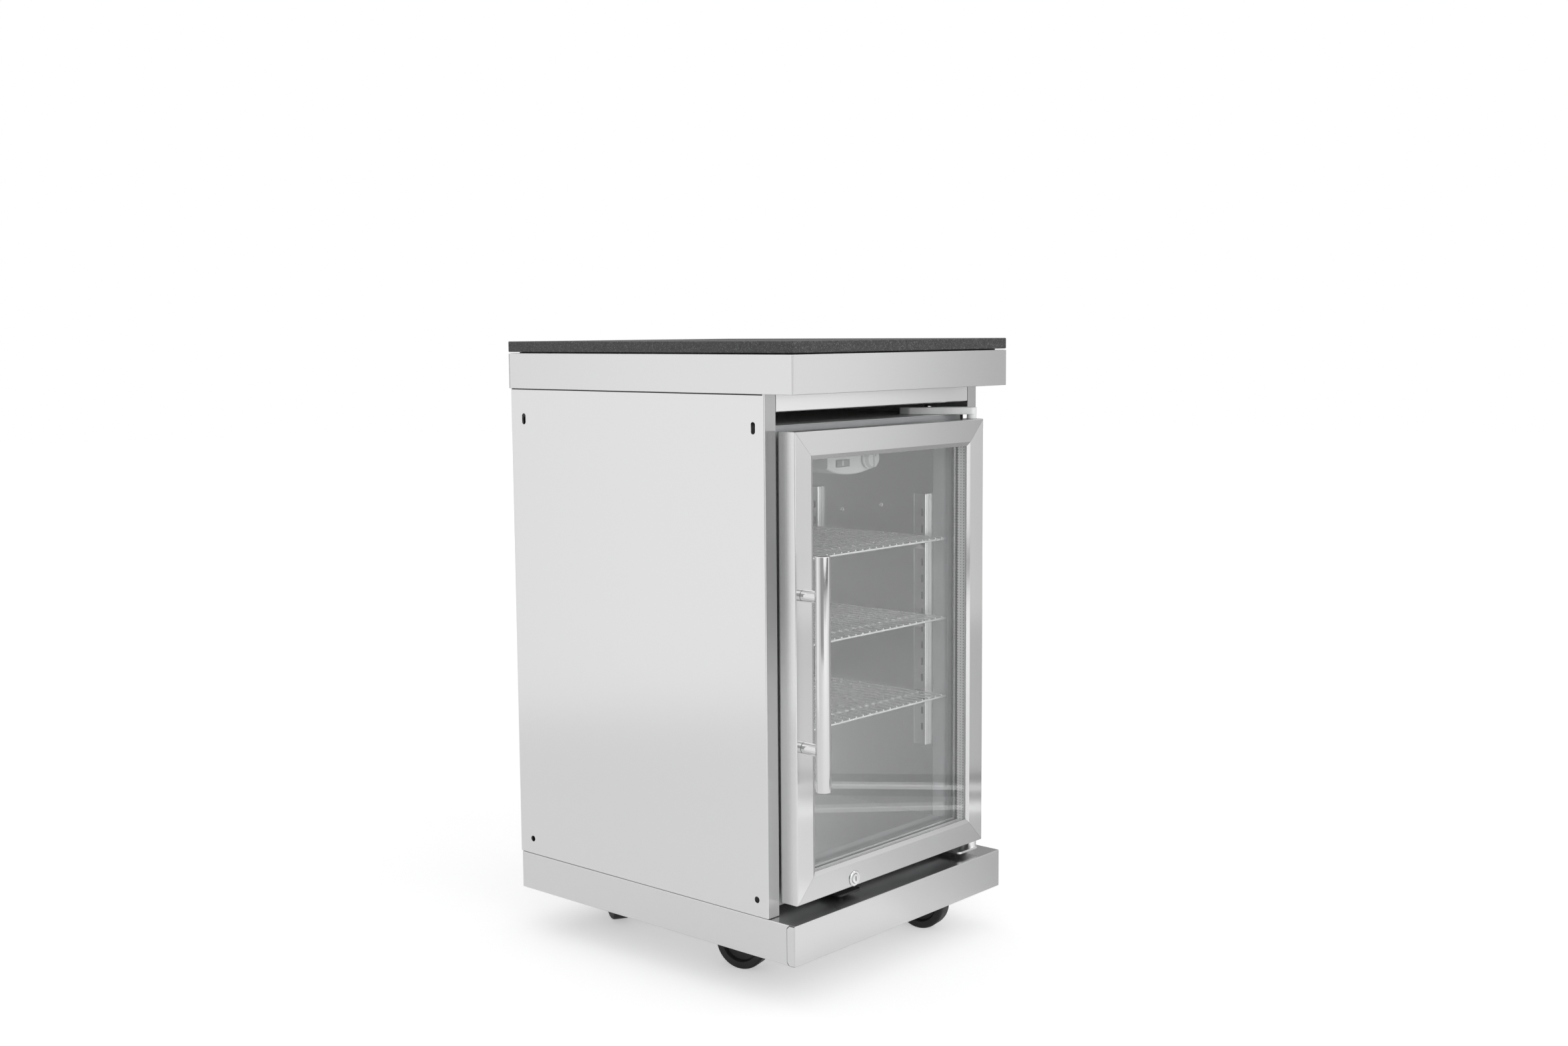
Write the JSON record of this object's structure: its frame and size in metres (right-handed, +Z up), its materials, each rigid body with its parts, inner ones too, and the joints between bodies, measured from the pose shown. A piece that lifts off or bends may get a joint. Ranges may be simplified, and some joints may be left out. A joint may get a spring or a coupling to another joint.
{
  "type": "undercounter refrigerator",
  "caption": "Glass-door undercounter refrigerator in a wheeled stainless cabinet with a stone worktop, wire shelves, bar handle and key lock.",
  "frame": {"origin": "on the floor, under the centre of the whole object's box (cabinet plus door handle)", "axes": "+Z up, -Y towards the door and handle, +X to the right as seen from the front"},
  "size_m": [0.483, 0.5904, 0.9003],
  "materials": {
    "brushed_steel": "satin",
    "door_frame": "satin",
    "handle": "polished",
    "stone": "satin",
    "liner": "polished",
    "collar": "satin",
    "white_plastic": "satin",
    "grey_plastic": "satin",
    "wire": "satin",
    "glass": "polished",
    "spacer": "satin",
    "gasket": "matte",
    "wheel": "matte",
    "zinc": "satin",
    "black_paint": "satin",
    "foot": "matte",
    "foam": "matte",
    "coil": "satin",
    "lock": "polished"
  },
  "bodies": {
    "cabinet": {"countertop": "stone", "top_tray": "brushed_steel", "side_panel_left": "brushed_steel", "side_panel_right": "brushed_steel", "back_panel": "brushed_steel", "front_rail": "brushed_steel", "base_tray": "brushed_steel", "case": "brushed_steel", "caster_plate_front_left": "zinc", "caster_plate_front_right": "zinc", "caster_plate_rear_left": "zinc", "caster_plate_rear_right": "zinc", "insulation": "foam", "liner": "liner", "front_collar": "collar", "evaporator": "coil", "condenser": "coil", "foot_front_left": "foot", "foot_front_right": "foot", "foot_rear_left": "foot", "foot_rear_right": "foot", "compressor": "black_paint", "fan_motor": "black_paint", "rear_grille": "black_paint", "lock_strike": "black_paint", "shelf_bottom": "wire", "shelf_middle": "wire", "shelf_top": "wire", "shelf_standard_front_left": "wire", "shelf_standard_front_right": "wire", "shelf_standard_rear_left": "wire", "shelf_standard_rear_right": "wire", "control_housing": "white_plastic", "top_hinge": "white_plastic", "bottom_hinge": "handle"},
    "door": {"door_rail_top": "door_frame", "door_rail_bottom": "door_frame", "door_stile_left": "door_frame", "door_stile_right": "door_frame", "outer_glass": "glass", "inner_glass": "glass", "glass_spacer": "spacer", "door_gasket": "gasket", "handle_tube": "handle", "handle_post_lower": "handle", "handle_post_upper": "handle", "lock_barrel": "lock"},
    "lock_plug": {"lock_plug": "lock"},
    "lock_bolt": {"lock_bolt": "lock"},
    "thermostat": {"thermostat_knob": "white_plastic"},
    "light_switch": {"light_switch": "grey_plastic"},
    "fan": {"fan_blades": "grey_plastic"},
    "caster_swivel_front_left": {"caster_fork_front_left": "zinc"},
    "caster_wheel_front_left": {"caster_wheel_front_left": "wheel"},
    "caster_swivel_front_right": {"caster_fork_front_right": "zinc"},
    "caster_wheel_front_right": {"caster_wheel_front_right": "wheel"},
    "caster_swivel_rear_left": {"caster_fork_rear_left": "zinc"},
    "caster_wheel_rear_left": {"caster_wheel_rear_left": "wheel"},
    "caster_swivel_rear_right": {"caster_fork_rear_right": "zinc"},
    "caster_wheel_rear_right": {"caster_wheel_rear_right": "wheel"}
  },
  "joints": [
    {"name": "door_hinge", "type": "hinge", "parent": "cabinet", "child": "door", "pos_m": [0.2, -0.24075, 0.1357], "axis": [0, 0, 1], "range_deg": [0, 110]},
    {"name": "lock_turn", "type": "hinge", "parent": "door", "child": "lock_plug", "pos_m": [-0.0936, -0.25385, 0.1471], "axis": [0, 1, 0], "range_deg": [0, 90]},
    {"name": "lock_bolt_slide", "type": "slide", "parent": "door", "child": "lock_bolt", "axis": [0, 0, -1], "range_m": [0, 0.0121]},
    {"name": "thermostat_turn", "type": "hinge", "parent": "cabinet", "child": "thermostat", "pos_m": [0.037, -0.16975, 0.7285], "axis": [0, 1, 0], "range_deg": [0, 270]},
    {"name": "light_switch_rock", "type": "hinge", "parent": "cabinet", "child": "light_switch", "pos_m": [-0.0215, -0.16725, 0.7242], "axis": [0, 0, 1], "range_deg": [-14, 0]},
    {"name": "fan_spin", "type": "hinge", "parent": "cabinet", "child": "fan", "pos_m": [0.095, 0.15855, 0.2129], "axis": [0, 1, 0], "continuous": true},
    {"name": "swivel_front_left", "type": "hinge", "parent": "cabinet", "child": "caster_swivel_front_left", "pos_m": [-0.145, -0.14125, 0.1], "axis": [0, 0, 1], "continuous": true},
    {"name": "wheel_front_left", "type": "hinge", "parent": "caster_swivel_front_left", "child": "caster_wheel_front_left", "pos_m": [-0.15589, -0.09759, 0.04], "axis": [-0.9703, -0.2419, 0], "continuous": true},
    {"name": "swivel_front_right", "type": "hinge", "parent": "cabinet", "child": "caster_swivel_front_right", "pos_m": [0.145, -0.14125, 0.1], "axis": [0, 0, 1], "continuous": true},
    {"name": "wheel_front_right", "type": "hinge", "parent": "caster_swivel_front_right", "child": "caster_wheel_front_right", "pos_m": [0.15281, -0.18557, 0.04], "axis": [0.9848, 0.1736, 0], "continuous": true},
    {"name": "swivel_rear_left", "type": "hinge", "parent": "cabinet", "child": "caster_swivel_rear_left", "pos_m": [-0.145, 0.16275, 0.1], "axis": [0, 0, 1], "continuous": true},
    {"name": "wheel_rear_left", "type": "hinge", "parent": "caster_swivel_rear_left", "child": "caster_wheel_rear_left", "pos_m": [-0.1225, 0.20172, 0.04], "axis": [-0.866, 0.5, 0], "continuous": true},
    {"name": "swivel_rear_right", "type": "hinge", "parent": "cabinet", "child": "caster_swivel_rear_right", "pos_m": [0.145, 0.16275, 0.1], "axis": [0, 0, 1], "continuous": true},
    {"name": "wheel_rear_right", "type": "hinge", "parent": "caster_swivel_rear_right", "child": "caster_wheel_rear_right", "pos_m": [0.11053, 0.19168, 0.04], "axis": [-0.6428, -0.766, 0], "continuous": true}
  ],
  "couplings": [
    {"joint": "lock_bolt_slide", "follows": "lock_turn", "m_per_rad": 0.007639}
  ]
}
